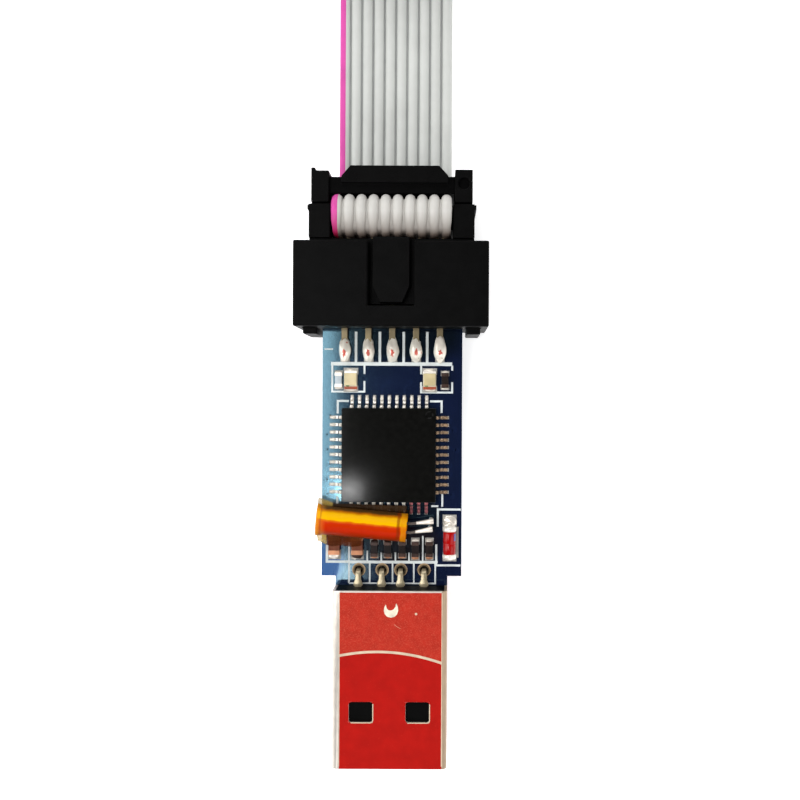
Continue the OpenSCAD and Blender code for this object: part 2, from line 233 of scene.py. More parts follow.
# The finishes by key: name, screen colour, roughness, metal, specular level, colour variation, grain, bump.
FINISHES = {
    "mask": ("solder_mask", (13, 19, 48), 0.09, 0, 1.0, 0.12, 3, 0.0012),
    "trace": ("mask_over_copper", (17, 25, 58), 0.1, 0, 1.0, 0.12, 3, 0.0012),
    "fibre": ("fibreglass_edge", (62, 84, 110), 0.6, 0, 0.5, 0.3, 9, 0.02),
    "legend": ("legend_ink", (212, 218, 217), 0.6, 0, 0.3, 0.1, 8, 0.006),
    "black": ("connector_plastic", (7, 7, 7), 0.42, 0, 0.04, 0.2, 6, 0.005),
    # Painted shade for the strain relief's step.
    "black_low": ("connector_plastic_polished", (5, 5, 5), 0.4, 0, 0.03, 0.2, 6, 0.004),
    "epoxy": ("chip_epoxy", (14, 14, 13), 0.085, 0, 0.1, 0.25, 14, 0.0006),
    "tin": ("tinned", (236, 230, 220), 0.3, 0.35, 0.5, 0.1, 6, 0.008),
    "tin_dull": ("tinned_dull", (56, 34, 24), 0.3, 0.3, 0.5, 0.35, 6, 0.01),
    "tin_tan": ("tinned_tan", (186, 128, 92), 0.36, 0.35, 0.5, 0.2, 6, 0.01),
    # Painted reflections: pinkish and warmer copies of the tinned leads.
    "tin_pink": ("tinned_pink", (150, 84, 88), 0.3, 0.5, 0.5, 0.25, 6, 0.01),
    "tin_warm": ("tinned_warm", (152, 126, 100), 0.28, 0.55, 0.5, 0.2, 6, 0.01),
    "solder": ("solder", (230, 222, 210), 0.24, 0.4, 0.5, 0.1, 2.5, 0.02),
    "solder_pin": ("solder_flux_stained", (250, 240, 226), 0.22, 0.22, 0.5, 0.1, 2.5, 0.02),
    # Painted red reflection on the pin solder.
    "flux": ("flux_stain", (196, 92, 78), 0.3, 0.2, 0.5, 0.3, 4, 0.015),
    "gold": ("gold_flash", (112, 100, 74), 0.34, 0.6, 0.5, 0.2, 5, 0.004),
    "strip": ("contact_strip", (166, 154, 126), 0.32, 0.5, 0.5, 0.15, 5, 0.006),
    "ring_pad": ("ring_pad", (160, 134, 100), 0.4, 0.4, 0.5, 0.25, 6, 0.012),
    "ring_inner": ("ring_inner", (84, 70, 46), 0.4, 0.4, 0.5, 0.25, 6, 0.012),
    "wire": ("crystal_wire", (96, 88, 82), 0.34, 0.8, 0.5, 0.2, 5, 0.006),
    "steel": ("bare_steel", (216, 208, 198), 0.34, 0.6, 0.5, 0.08, 7, 0.004),
    # Painted shade for the plug's right side, which faces away from the light.
    "steel_tan": ("worn_steel", (164, 142, 118), 0.4, 0.5, 0.5, 0.05, 7, 0.005),
    # Pale marks, and painted highlights on the plug's arc line and edges.
    "pale_marks": ("sheared_edge", (206, 186, 160), 0.5, 0, 0.5, 0.14, 9, 0.01),
    "scuff": ("scuffed_lacquer", (196, 112, 88), 0.5, 0, 0.5, 0.14, 9, 0.01),
    # The plug's red is a painted reflection of something red mirrored in the steel, paler behind the arc
    # line.
    "lacquer": ("red_lacquer", (169, 20, 14), 0.5, 0, 0.06, 0.08, 6, 0.004),
    "lacquer_matt": ("red_lacquer_matt", (174, 44, 30), 0.6, 0, 0.08, 0.1, 10, 0.01),
    "stamp": ("stamped_metal", (232, 222, 200), 0.3, 0.2, 0.5, 0.25, 8, 0.03),
    "grey": ("ribbon_vinyl", (199, 201, 197), 0.42, 0, 0.3, 0.04, 3, 0.006),
    # Painted shade for the bottoms of the ribbon's grooves.
    "web": ("ribbon_web", (158, 160, 158), 0.5, 0, 0.2, 0.06, 3, 0.006),
    "pink": ("ribbon_marked_edge", (202, 72, 154), 0.42, 0, 0.3, 0.1, 3, 0.006),
    "ceramic": ("brown_ceramic", (104, 54, 34), 0.5, 0, 0.2, 0.25, 9, 0.01),
    "glaze": ("dark_glaze", (22, 13, 11), 0.3, 0, 0.15, 0.4, 9, 0.006),
    # Painted reflection of the window light on the left lamp resistor.
    "glaze_pale": ("pale_glaze", (170, 180, 186), 0.3, 0, 0.5, 0.15, 9, 0.006),
    "lamp_body": ("lamp_carrier", (206, 196, 170), 0.4, 0, 0.5, 0.1, 6, 0.006),
    "lamp_lens": ("lamp_lens", (200, 184, 140), 0.2, 0, 0.5, 0.16, 5, 0.01),
    "lamp_amber": ("lamp_amber", (160, 66, 26), 0.35, 0, 0.5, 0.3, 6, 0.008),
    "lamp_green": ("lamp_mark", (92, 140, 92), 0.4, 0, 0.5, 0.2, 6, 0.004),
    "glass": ("diode_glass", (156, 8, 8), 0.16, 0, 0.25, 0.14, 3, 0.003),
    "band": ("diode_band", (48, 52, 140), 0.2, 0, 0.5, 0.15, 4, 0.003),
    "dark": ("deep_shadow", (26, 23, 18), 0.6, 0, 0.1, 0.2, 6, 0.006),
    "pad": ("tinned_pad", (158, 156, 150), 0.5, 0.3, 0.5, 0.25, 6, 0.02),
    "nylon": ("tie_nylon", (206, 204, 196), 0.4, 0, 0.5, 0.06, 5, 0.005),
    "loop_near": ("ribbon_loops_near", (198, 196, 191), 0.42, 0, 0.3, 0.04, 3, 0.006),
    "pink_loop_near": ("marked_loop_near", (202, 68, 150), 0.42, 0, 0.3, 0.1, 3, 0.006),
    "loop_far": ("ribbon_loops_far", (198, 196, 191), 0.42, 0, 0.3, 0.04, 3, 0.006),
    "pink_loop_far": ("marked_loop_far", (202, 68, 150), 0.42, 0, 0.3, 0.1, 3, 0.006),
    "tape": ("amber_film", (200, 120, 10), 0.3, 0, 0.04, 0.1, 5, 0.02),
    "flap": ("loose_film", (92, 40, 8), 0.3, 0, 0.05, 0.3, 5, 0.02),
    "flap_dark": ("shaded_film", (50, 32, 14), 0.3, 0, 0.05, 0.4, 5, 0.02),
    "flap_pale": ("clear_film", (190, 160, 76), 0.3, 0, 0.1, 0.3, 5, 0.02),
}
MASK_SHEEN = (0.42, 0.82, 1.0)
# What a few of them have besides.
EXTRAS = {
    "mask": {"sheen_tint": MASK_SHEEN},
    "trace": {"sheen_tint": MASK_SHEEN},
    # Reddish specks on the pin solder, a painted reflection.
    "solder_pin": {"specks": (linear(200, 128, 110), 0.06, 0.7)},
    # Specks in the painted red reflection on the plug.
    "lacquer": {"specks": (linear(184, 48, 36), 0.03, 0.14)},
    "lacquer_matt": {"specks": (linear(188, 66, 50), 0.18, 0.075)},
    "lamp_lens": {"coat": 0.5},
    "band": {"coat": 0.5},
    "flap": {"alpha": 0.6},
    "flap_dark": {"alpha": 0.8},
    "flap_pale": {"alpha": 0.5},
}
M = {}
for key, (name, colour, *numbers) in FINISHES.items():
    M[key] = material(name, linear(*colour), *numbers, **EXTRAS.get(key, {}))
# Painted shade: the loops at each socket turn darker and warmer towards it, where they curve down into it.
for end, crimp in (("near", Y_CRIMP), ("far", Y_CRIMP + FAR_Y)):
    low = crimp + 0.1
    high = crimp + 2.6
    painted_shade_along_y(M["loop_" + end], low, high, linear(104, 86, 74))
    painted_shade_along_y(M["pink_loop_" + end], low, high, linear(150, 8, 30))
# Painted shade round the row of small chips, reddened by a painted reflection of the amber film.
tinted_oval(M["mask"], (1.0, Y_BOARD + 4.6), (4.9, 2.9), linear(26, 9, 6), 0.9)
# A darker oval between the crystal's wire joints and the microcontroller's lower right leads.
tinted_oval(M["mask"], (3.4, Y_BOARD + 7.4), (2.6, 2.2), linear(6, 8, 20), 0.8)
# Painted shadow and reflection of the box header on the mask along its foot.
tinted_oval(M["mask"], (1.2, Y_BOARD + 27.0), (8.0, 3.6), linear(3, 4, 10), 0.85)
# Painted glare: a lighter blue on the lower left margin in place of the window's reflection; the duller patch
# below softens the real one.
tinted_oval(M["mask"], (-7.2, Y_BOARD + 2.4), (2.4, 3.0), linear(14, 52, 132), 0.85)
rubbed(M["mask"], (-7.4, Y_BOARD + 2.6), (1.9, 3.0), 0.34)
rubbed(M["trace"], (-6.9, Y_BOARD + 10.4), (2.4, 5.5), 0.18)

# ---- mesh tools


def rounded(bm, width, segments):
    """Rounds the sharp edges. Flat faces stay flat in shading too, so that a broad one mirrors evenly."""
    bm.normal_update()
    turns = {e: math.degrees(e.calc_face_angle(0)) for e in bm.edges if e.is_manifold}
    for f in bm.faces:
        f.smooth = f.calc_area() < 6 and any(0.5 < turns.get(e, 0) <= 30 for e in f.edges)
    sharp = [e for e, turn in turns.items() if turn > 30]
    made = bmesh.ops.bevel(bm, geom=sharp, offset=width, offset_type="OFFSET", segments=segments, profile=0.5,
                           affect="EDGES", clamp_overlap=True, material=-1)
    for f in made["faces"]:
        f.smooth = True


def finish_mesh(name, bm, mats, body, replaces=(), smooth=35, bevel=0.0, segments=2, outward=False):
    """Turns a bmesh drawn in millimetres into a piece in metres that rides on a body. outward turns its faces
    to face out."""
    if outward:
        bmesh.ops.recalc_face_normals(bm, faces=bm.faces)
    if bevel:
        rounded(bm, bevel, segments)
    else:
        for f in bm.faces:
            f.smooth = True
    bm.normal_update()
    for e in bm.edges:
        e.smooth = e.is_manifold and math.degrees(e.calc_face_angle(0)) <= smooth
    bmesh.ops.scale(bm, vec=(MM, MM, MM), verts=bm.verts)
    mesh = bpy.data.meshes.new(name)
    bm.to_mesh(mesh)
    bm.free()
    for key in mats:
        mesh.materials.append(M[key])
    obj = bpy.data.objects.new(name, mesh)
    bpy.context.scene.collection.objects.link(obj)
    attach(obj, body)
    if replaces:
        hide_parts(*replaces)
    return obj


def finish_joints(name, bm, *mats):
    """A piece of solder and pads on the stick."""
    finish_mesh(name, bm, mats, STICK, smooth=50)


def polar(at, r, t):
    """The point at angle t on a circle of radius r round (x, y)."""
    return at[0] + r * math.cos(t), at[1] + r * math.sin(t)


def painted(made, index):
    """Gives the faces of newly made vertices one finish."""
    for f in {f for v in made for f in v.link_faces}:
        f.material_index = index


def add_box(bm, low, high, index=0):
    """A box between two corners."""
    low = Vector(low)
    high = Vector(high)
    made = bmesh.ops.create_cube(bm, size=1.0)["verts"]
    place = Matrix.Translation((low + high) / 2) @ Matrix.Diagonal((*(high - low), 1))
    bmesh.ops.transform(bm, matrix=place, verts=made)
    painted(made, index)


def add_pad(bm, x, y, face, side=1, thick=0.03):
    """A tinned pad on one face of the board. x and y are its lowest and highest, and side is 1 on top."""
    z0, z1 = sorted((face + side * 0.001, face + side * thick))
    add_box(bm, (x[0], y[0], z0), (x[1], y[1], z1))


def prism(bm, outline, z0, z1, index=0):
    """An upright solid over an outline of (x, y) that runs anticlockwise."""
    low = [bm.verts.new((x, y, z0)) for x, y in outline]
    high = [bm.verts.new((x, y, z1)) for x, y in outline]
    faces = [bm.faces.new(low[::-1]), bm.faces.new(high)]
    for i in range(len(outline)):
        j = (i + 1) % len(outline)
        faces.append(bm.faces.new((low[i], low[j], high[j], high[i])))
    for f in faces:
        f.material_index = index
    return faces


def band(bm, line, width, z0, z1, index=0):
    """A flat band of even width along a line of (x, y), with mitred corners."""
    pts = [Vector(p) for p in line]
    left = []
    right = []
    for i, p in enumerate(pts):
        before = (p - pts[i - 1]).normalized() if i else (pts[1] - p).normalized()
        after = (pts[i + 1] - p).normalized() if i < len(pts) - 1 else before
        side = Vector((-(before + after).y, (before + after).x)).normalized()
        reach = width / 2 / max(0.4, side.dot(Vector((-before.y, before.x))))
        left.append(p + side * reach)
        right.append(p - side * reach)
    prism(bm, [tuple(p) for p in right + left[::-1]], z0, z1, index)


def ring(bm, at, r0, r1, z0, z1, index=0, n=24):
    """A flat washer round (x, y)."""
    turns = [math.tau * i / n for i in range(n)]
    corners = ((r0, z0), (r1, z0), (r1, z1), (r0, z1))
    loops = [[bm.verts.new((*polar(at, r, t), z)) for t in turns] for r, z in corners]
    for k in range(4):
        a = loops[k]
        b = loops[(k + 1) % 4]
        for i in range(n):
            j = (i + 1) % n
            bm.faces.new((a[i], a[j], b[j], b[i])).material_index = index


def tube(bm, rings):
    """Joins rings of vertices into a closed solid."""
    n = len(rings[0])
    for r0, r1 in zip(rings, rings[1:]):
        for i in range(n):
            bm.faces.new((r0[i], r0[(i + 1) % n], r1[(i + 1) % n], r1[i]))
    bm.faces.new(rings[0][::-1])
    bm.faces.new(rings[-1])


def headings(line):
    """The direction of a line at each of its points."""
    last = len(line) - 1
    return [(line[min(i + 1, last)] - line[max(i - 1, 0)]).normalized() for i in range(len(line))]


def lathe(bm, places, origin, along, n=28):
    """A turned solid: places are (distance, radius) from the origin along a unit axis."""
    side = along.orthogonal().normalized()
    up = along.cross(side)
    turns = [math.tau * i / n for i in range(n)]
    rings = [[bm.verts.new(origin + along * t + (side * math.cos(a) + up * math.sin(a)) * r) for a in turns]
             for t, r in places]
    tube(bm, rings)


def sweep(bm, line, sections, sideways):
    """Draws a section, a list of (across, up), at each point of a line. sideways is across's direction."""
    rings = []
    for p, along, section in zip(line, headings(line), sections):
        across = (sideways - along * sideways.dot(along)).normalized()
        up = across.cross(along)
        rings.append([bm.verts.new(p + across * a + up * b) for a, b in section])
    tube(bm, rings)


def rounded_bar(w, h, r, n=3):
    """Outline of a w by h rectangle with round corners."""
    points = []
    for cx, cy, start in ((1, 1, 0), (-1, 1, 90), (-1, -1, 180), (1, -1, 270)):
        middle = (cx * (w / 2 - r), cy * (h / 2 - r))
        points += [polar(middle, r, math.radians(start + 90 * i / n)) for i in range(n + 1)]
    return points


def blob(bm, centre, size, seed, index=0, uneven=0.12, floor=None, roof=None, taper=0.0, fine=3):
    """A lump of solder: an ellipsoid with an uneven skin, cut flat at floor and narrower towards +Y."""
    made = bmesh.ops.create_icosphere(bm, subdivisions=fine, radius=1.0)["verts"]
    for v in made:
        d = v.co.copy()
        k = 1 + uneven * noise.noise(d * 1.3 + Vector((seed, 2 * seed, 0)))
        narrow = 1 - taper * max(-0.3, d.y)
        wide = k * narrow
        v.co = Vector(centre) + Vector((d.x * size[0] * wide, d.y * size[1] * k, d.z * size[2] * wide))
        if floor is not None:
            v.co.z = max(v.co.z, floor)
        if roof is not None:
            v.co.z = min(v.co.z, roof)
    painted(made, index)
    return made


def softened(node, name, mats, body, slot, bevel=0.08, segments=2, pick=None, cuts=()):
    """A CAD node with its edges rounded, as a moulding or a stamping has them. cuts are planes, as (point,
    normal), that split its faces, and pick chooses each face's finish."""
    bm = bmesh.new()
    bm.from_mesh(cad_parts[node].data)
    bmesh.ops.scale(bm, vec=(1 / MM,) * 3, verts=bm.verts)
    bmesh.ops.remove_doubles(bm, verts=bm.verts, dist=0.0005)
    bmesh.ops.dissolve_limit(bm, angle_limit=math.radians(1), verts=bm.verts, edges=bm.edges)
    for point, normal in cuts:
        everything = bm.verts[:] + bm.edges[:] + bm.faces[:]
        bmesh.ops.bisect_plane(bm, geom=everything, plane_co=point, plane_no=normal, dist=0.0001)
    bm.normal_update()
    for f in bm.faces:
        f.material_index = pick(f) if pick else 0
    return finish_mesh(name, bm, mats, body, (node,), bevel=bevel, segments=segments)


def dressed(node, key):
    """A CAD node whose shape is right keeps it and gets a finish."""
    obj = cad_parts[node]
    for s in obj.material_slots:
        s.material = M[key]


# ---- ribbon cable

RIB_X = row(10, 1.27)
RUN_Z = 0.8
# Corners as (distance from the crimp, height, bend radius): over the near socket's cover, along the table,
# round the fold, back over the first run and over the far socket's cover.
ROUTE = [
    (0.5, 1.6, 0), (0.5, 8.4, 1.3), (4.1, 8.4, 1.3), (4.1, RUN_Z, 0.6),
    (106.05, RUN_Z, 2.7), (106.05, 6.4, 2.6), (98.25, 5.8, 8), (89.25, RUN_Z + FAR_Z, 8),
    (FAR_Y + 4.1, RUN_Z + FAR_Z, 0.6), (FAR_Y + 4.1, 8.4 + FAR_Z, 1.3),
    (FAR_Y + 0.5, 8.4 + FAR_Z, 1.3), (FAR_Y + 0.5, 1.6 + FAR_Z, 0),
]


def filleted(route):
    """The route's line with an arc at every corner that has a radius."""
    steps = 7
    line = []
    for i, (y, z, r) in enumerate(route):
        corner = Vector((y, z))
        if r == 0:
            line.append(corner)
            continue
        u = (Vector(route[i - 1][:2]) - corner).normalized()
        v = (Vector(route[i + 1][:2]) - corner).normalized()
        half = u.angle(v) / 2
        centre = corner + (u + v).normalized() * (r / math.sin(half))
        arm = corner + u * (r / math.tan(half)) - centre
        turn = (math.pi - 2 * half) * (1 if u.x * v.y - u.y * v.x < 0 else -1)
        for k in range(steps + 1):
            line.append(centre + Matrix.Rotation(turn * k / steps, 2) @ arm)
    return [Vector((0, Y_CRIMP + p.x, p.y)) for p in line]


def refined(line, most):
    """The same line with no step longer than most."""
    out = [line[0]]
    for a, b in zip(line, line[1:]):
        n = max(1, math.ceil((b - a).length / most))
        out += [a.lerp(b, k / n) for k in range(1, n + 1)]
    return out


def rib_section(part, dive=0.0):
    """Outline of ten ribs side by side, as (across, up), from left to right on top and back below. part is 0
    where they lie joined and flat, and 1 in the loops, where they part and stand rounder. dive is 1 where
    they narrow, down into the crimp."""
    half_w = 0.585 - 0.02 * part - 0.12 * dive
    half_h = 0.475 + 0.1 * part - 0.22 * dive
    groove = 13 - 9 * part
    top = []
    for middle in RIB_X:
        first = 180 if middle == RIB_X[0] else 180 - groove
        last = 0 if middle == RIB_X[-1] else groove
        for k in range(11):
            t = math.radians(first + (last - first) * k / 10)
            top.append((middle + half_w * math.cos(t), max(half_h * math.sin(t), 0.0)))
    return top + [(x, -z) for x, z in reversed(top[1:-1])]


def loop_part(p):
    """How far the ribs part at a point of the ribbon's line."""
    for crimp, lift in ((Y_CRIMP, 0.0), (Y_CRIMP + FAR_Y, FAR_Z)):
        if crimp < p.y < crimp + 4.5:
            return min(1.0, max(0.0, (p.z - lift - 5.2) / 2.5))
    return 0.0


def dive_part(p):
    """How far the ribs narrow at a point of the ribbon's line."""
    for crimp in (Y_CRIMP, Y_CRIMP + FAR_Y):
        if crimp < p.y < crimp + 2:
            return min(1.0, crimp + 2 - p.y) * min(1.0, loop_part(p) * 3)
    return 0.0


def make_ribbon():
    """The ribbon as one mesh along its route, with its marked edge, its grooves and its two loops."""
    plain, marked, groove = range(3)
    line = refined(filleted(ROUTE), 1.2)
    x_axis = Vector((1, 0, 0))
    bm = bmesh.new()
    rings = []
    for p, along in zip(line, headings(line)):
        up = x_axis.cross(along)
        section = rib_section(loop_part(p), dive_part(p))
        rings.append([bm.verts.new(p + x_axis * x + up * z) for x, z in section])
    outline = rib_section(0)
    n = len(outline)
    finish = []
    # Painted shade: the faces at the bottom of each groove take a darker grey.
    for (x0, z0), (x1, z1) in zip(outline, outline[1:] + outline[:1]):
        in_groove = min(abs(z0), abs(z1)) < 0.16 and abs(x0 + x1) / 2 < 6.0
        finish.append(marked if max(x0, x1) < -5.5 else groove if in_groove else plain)
    for i, (r0, r1) in enumerate(zip(rings, rings[1:])):
        middle = (line[i] + line[i + 1]) / 2
        in_loop = loop_part(middle) > 0.02
        first = 3 if middle.y < Y_CRIMP + 5 else 5
        for j in range(n):
            f = bm.faces.new((r0[j], r1[j], r1[(j + 1) % n], r0[(j + 1) % n]))
            f.material_index = first + (finish[j] == marked) if in_loop else finish[j]
    bm.faces.new(rings[0])
    bm.faces.new(rings[-1][::-1])
    nodes = ("ribbon_cable", "ribbon_hank", "ribbon_tail")
    finishes = ("grey", "pink", "web", "loop_near", "pink_loop_near", "loop_far", "pink_loop_far")
    made = finish_mesh("ribbon_ten_way", bm, finishes, CABLE, nodes, smooth=60, outward=True)
    return made, line


# ---- sockets and tie


RELIEF_TOP = 7.7


def make_socket(prefix, node_prefix, crimp, lift):
    """Body, cover, strain relief and contacts of one ribbon socket, and the round marks on its bar."""
    # Painted shade: the step along the bar's front takes a darker black.
    def relief_face(f):
        z = f.calc_center_median().z - lift
        return 1 if f.normal.z > 0.9 and RELIEF_TOP - 0.6 < z < RELIEF_TOP - 0.2 else 0

    plastic = "connector_plastic"
    bm = bmesh.new()
    for x in (-4.2, 0.1, 4.4):
        ring(bm, (x, crimp + 6.45), 0.42, 0.52, lift + RELIEF_TOP - 0.02, lift + RELIEF_TOP + 0.02)
    pieces = []
    for node, part, finishes, slot, *rest in (
            ("socket_body", "_body", ("black",), plastic, 0.045),
            ("socket_cover", "_cover", ("black",), plastic, 0.16),
            ("strain_relief", "_relief", ("black", "black_low"), plastic, 0.12, 2, relief_face),
            ("socket_contacts", "_contacts", ("gold",), "contact_metal", 0.02, 1)):
        pieces.append(softened(node_prefix + node, prefix + part, finishes, CABLE, slot, *rest))
    return pieces + [finish_mesh(prefix + "_mould_marks", bm, ("black",), CABLE, smooth=20)]


def make_tie():
    """The nylon tie round the hank, and its head with the cut end of the strap."""
    strap = softened("hank_tie", "hank_tie_band", ("nylon",), CABLE, "tie_plastic", 0.1)
    low, high = box("hank_tie")
    y = (low.y + high.y) / 2
    bm = bmesh.new()
    add_box(bm, (2.2, y - 2.3, high.z - 0.05), (5.4, y + 2.3, high.z + 2.0))
    add_box(bm, (5.3, y - 1.2, high.z + 0.5), (7.6, y + 1.2, high.z + 1.2))
    head = finish_mesh("hank_tie_head", bm, ("nylon",), CABLE, bevel=0.3, segments=3)
    return [strap, head]


ribbon, ribbon_line = make_ribbon()
make_socket("near_plug", "", Y_CRIMP, 0)
far_pieces = make_socket("far_plug", "far_", Y_CRIMP + FAR_Y, FAR_Z)
far_pieces + make_tie()

# ---- circuit board


def board_face(f):
    """Mask on the two sides, dark in the drilled holes and bare laminate round the edge."""
    if abs(f.normal.z) > 0.5:
        return 0
    middle = f.calc_center_median()
    in_hole = any((Vector((x, USB_HOLE_Y)) - middle.xy).length < USB_HOLE_R + 0.1 for x in USB_X)
    return 2 if in_hole else 1


def make_board():
    finishes = ("mask", "fibre", "dark")
    softened("circuit_board", "board_laminate", finishes, STICK, "board", 0.03, 1, board_face)


def make_traces():
    """Copper under the mask: thin raised lines from the chip's leads to small vias, on both sides."""
    draw = random.Random(7)
    bm = bmesh.new()
    lift = 0.012
    top = (Z_TOP, Z_TOP + lift)
    back = (Z_BACK - lift, Z_BACK)

    def trace(points, face, via=None, width=0.16):
        band(bm, points, width, *face)
        if via:
            ring(bm, via, 0.12, 0.28, *face, n=14)

    for face, centre, leads, half in (
            (top, (MCU_X, MCU_Y), MCU_ROW, 5.9), (back, (0, BRIDGE_Y), BRIDGE_ROW, 3.8)):
        for side in (-1, 1):
            for along in leads[::2]:
                y = centre[1] + along
                x = centre[0] + side * half
                reach = min(6.9 - abs(x), 0.3 + 0.9 * draw.random())
                end = (x + side * (reach + 0.25), y + draw.choice((-0.35, 0.35)))
                trace([(x, y), (x + side * reach * 0.5, y), end], face, end)
    y = MCU_Y + 6.3
    bend = y + 0.9
    for along in MCU_ROW[1::3]:
        x = MCU_X + along
        trace([(x, y), (x, bend), (x + 0.5, bend + 0.5)], top, (x + 0.62, bend + 0.62))
    for x in USB_X[1:3]:
        trace([(x, USB_HOLE_Y + 0.8), (x, Y_BOARD + 6.5), (x * 0.6, Y_BOARD + 7.5)], back, width=0.2)
    for i, x in enumerate(PIN_X):
        line = [(x, Y_BOARD + 23.4), (x, Y_BOARD + 22.2 - 0.3 * i), (x * 0.7, Y_BOARD + 21 - 0.3 * i)]
        trace(line, back, width=0.2)
    finish_mesh("board_traces", bm, ("trace",), STICK)


def make_legend():
    """White printed outlines round the parts. A line is (width, points as (x, distance from the plug)), and
    each is a little thicker than the one before, so that no two faces lie in one plane where they cross."""
    cell = 2.41
    near = 2.15
    lines = [(0.17, [(-4.55, 0.2), (-4.55, cell), (4.7, cell), (4.7, 0.2), (-4.55, 0.2)])]
    lines += [(0.17, [(x, 0.2), (x, cell)]) for x in (-2.33, 0.12, 2.4)]
    lines += [(0.26, [(-6.93, 4.3), (-6.93, 2.5), (4.95, 2.5)])]
    lines += [(width, [(x, 2.5), (x, high)]) for width, x, high in (
        (0.2, -4.55, 4.6), (0.17, -2.6, 3.7), (0.17, -1.1, 3.5), (0.17, 0.42, 3.5), (0.17, 1.88, 3.5),
        (0.17, 3.35, 5.3))]
    lines += [
        (0.22, [(4.8, 4.4), (4.8, near), (7.4, near)]), (0.22, [(7.4, 8.15), (4.95, 8.15), (4.95, 6.3)]),
        (0.2, [(5.42, 9.8), (5.42, 8.45)]), (0.2, [(4.25, 8.5), (5.0, 8.5)]),
        (0.22, [(-4.66, 19.75), (-5.85, 19.75), (-5.85, 18.4)]),
        (0.22, [(4.05, 19.75), (5.3, 19.75), (5.3, 18.5)]), (0.22, [(-5.85, 9.5), (-5.85, 8.6)]),
        (0.38, [(-6.6, 23.74), (6.4, 23.74)]),
        (0.2, [(-3.0, 22.65), (-3.0, 23.6)]),
        (0.2, [(-6.45, 23.6), (-6.45, 20.75), (-3.0, 20.75), (-3.0, 21.9)]),
        (0.2, [(3.08, 22.65), (3.08, 23.6)]),
        (0.2, [(6.42, 21.8), (6.42, 20.7), (3.08, 20.7), (3.08, 21.8)]),
        (0.2, [(6.42, 23.05), (6.42, 23.6)]), (0.16, [(-7.3, 25.3), (-6.4, 25.3)]),
    ]
    lines += [(0.28, [(x, 23.85), (x, 27.2)]) for x in (-3.92, -1.36, 1.2, 3.72)]
    bm = bmesh.new()
    for i, (width, points) in enumerate(lines):
        high = Z_TOP + 0.002 + 0.001 * i
        band(bm, [(x, Y_BOARD + u) for x, u in points], width, Z_TOP + 0.001, high)
    back = [
        (0.2, [(-3.1, 19.3), (-3.1, 7.7), (3.1, 7.7), (3.1, 19.3), (-3.1, 19.3)]),
        (0.2, [(-6.6, 23.74), (6.6, 23.74)]),
        (0.17, [(-4.55, 0.9), (-4.55, 2.6), (4.55, 2.6), (4.55, 0.9)]),
    ]
    for i, (width, points) in enumerate(back):
        low = Z_BACK - 0.02 - 0.001 * i
        band(bm, [(x, Y_BOARD + u) for x, u in points], width, low, Z_BACK - 0.001)
    finish_mesh("board_legend", bm, ("legend",), STICK, smooth=20)


# ---- USB plug

ARC_PEAK = (-1.2, -19.25)
ARC_BEND = 0.026
FACE_LEFT = -5.2
FACE_RIGHT = 5.46
FACE_REAR = Y_BOARD - 0.16
WINDOW_X = 2.95
WINDOW_Y = Y_TIP + 5.9
WINDOW_HALF = (1.25, 1.075)


def arc_y(x):
    """The place of the pale arc line, a painted highlight, along the plug."""
    return ARC_PEAK[1] - ARC_BEND * (x - ARC_PEAK[0]) ** 2


def shell_face(f):
    """A painted red reflection on the two flat faces, painted shade in tan down the right side, and bare
    steel elsewhere.
    """
    middle = f.calc_center_median()
    flat = abs(f.normal.z) > 0.9 and FACE_LEFT < middle.x < FACE_RIGHT and middle.y < FACE_REAR
    outside = middle.z > PLUG_TOP - 0.1 or middle.z < PLUG_BACK + 0.1
    if flat and outside:
        return 0
    return 2 if middle.x > FACE_RIGHT else 1


def make_shell():
    cuts = [((FACE_LEFT, 0, 0), (1, 0, 0)), ((FACE_RIGHT, 0, 0), (1, 0, 0)), ((0, FACE_REAR, 0), (0, 1, 0))]
    finishes = ("lacquer", "steel", "steel_tan")
    softened("usb_shell", "plug_shell", finishes, STICK, "plug_steel", 0.05, 2, shell_face, cuts)


STAMP = (0.16, -14.95)


def window_corners(bm, x0, y0, x1, y1, r, z0, z1, index):
    """Fills the four corners of a punched window, so that its opening is round-cornered."""
    for x, y, start in ((x0, y0, 180), (x1, y0, 270), (x1, y1, 0), (x0, y1, 90)):
        cx = x + r if x == x0 else x - r
        cy = y + r if y == y0 else y - r
        arc = [polar((cx, cy), r, math.radians(start + 90 - 15 * k)) for k in range(7)]
        for f in prism(bm, [(x, y)] + arc, z0, z1, index):
            f.normal_update()
            if abs(f.normal.z) < 0.5:
                f.material_index = 2


